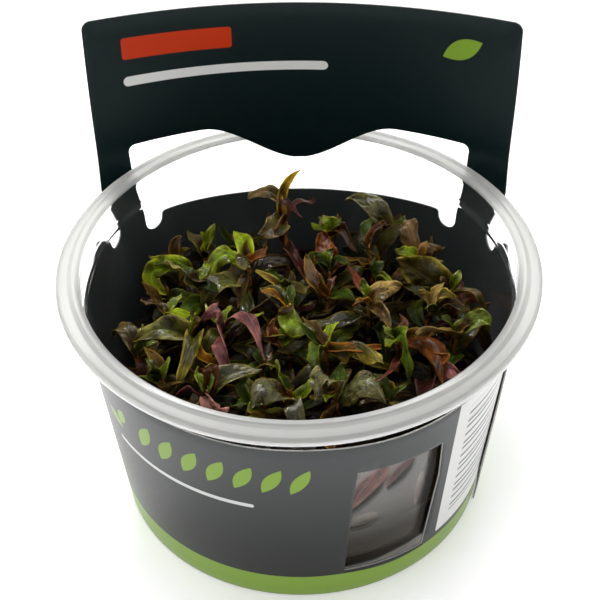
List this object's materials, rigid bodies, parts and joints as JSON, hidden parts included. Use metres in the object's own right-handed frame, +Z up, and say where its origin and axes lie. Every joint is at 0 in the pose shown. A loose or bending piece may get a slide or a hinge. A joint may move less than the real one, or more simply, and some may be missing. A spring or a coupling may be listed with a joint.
{
  "type": "cup-grown rotala",
  "caption": "Red-and-green aquarium stem plants on culture gel in a clear round cup, wrapped by a die-cut card sleeve that rises behind as a hanging header.",
  "frame": {"origin": "on the ground plane, on the cup's axis", "axes": "+Z up along the cup's axis; +Y towards the back, where the header card rises; the front of the sleeve faces -Y"},
  "size_m": [0.101, 0.101, 0.094],
  "materials": {
    "clear_plastic": "clear, glossy",
    "gel": "wet, translucent",
    "card": "satin",
    "leaf": "wet, glossy"
  },
  "bodies": {
    "root": {"clear_cup": "clear_plastic", "culture_gel": "gel", "header_card": "card", "shoot_01": "leaf", "shoot_02": "leaf", "shoot_03": "leaf", "shoot_04": "leaf", "shoot_05": "leaf", "shoot_06": "leaf", "shoot_07": "leaf", "shoot_08": "leaf", "shoot_09": "leaf", "shoot_10": "leaf", "shoot_11": "leaf", "shoot_12": "leaf", "shoot_13": "leaf", "shoot_14": "leaf", "shoot_15": "leaf", "shoot_16": "leaf", "shoot_17": "leaf", "shoot_18": "leaf", "shoot_19": "leaf", "shoot_20": "leaf", "shoot_21": "leaf", "shoot_22": "leaf", "shoot_23": "leaf", "shoot_24": "leaf", "shoot_25": "leaf", "shoot_26": "leaf", "shoot_27": "leaf", "shoot_28": "leaf", "shoot_29": "leaf", "shoot_30": "leaf", "shoot_31": "leaf", "shoot_32": "leaf", "shoot_33": "leaf", "shoot_34": "leaf", "shoot_35": "leaf", "shoot_36": "leaf"}
  },
  "joints": []
}
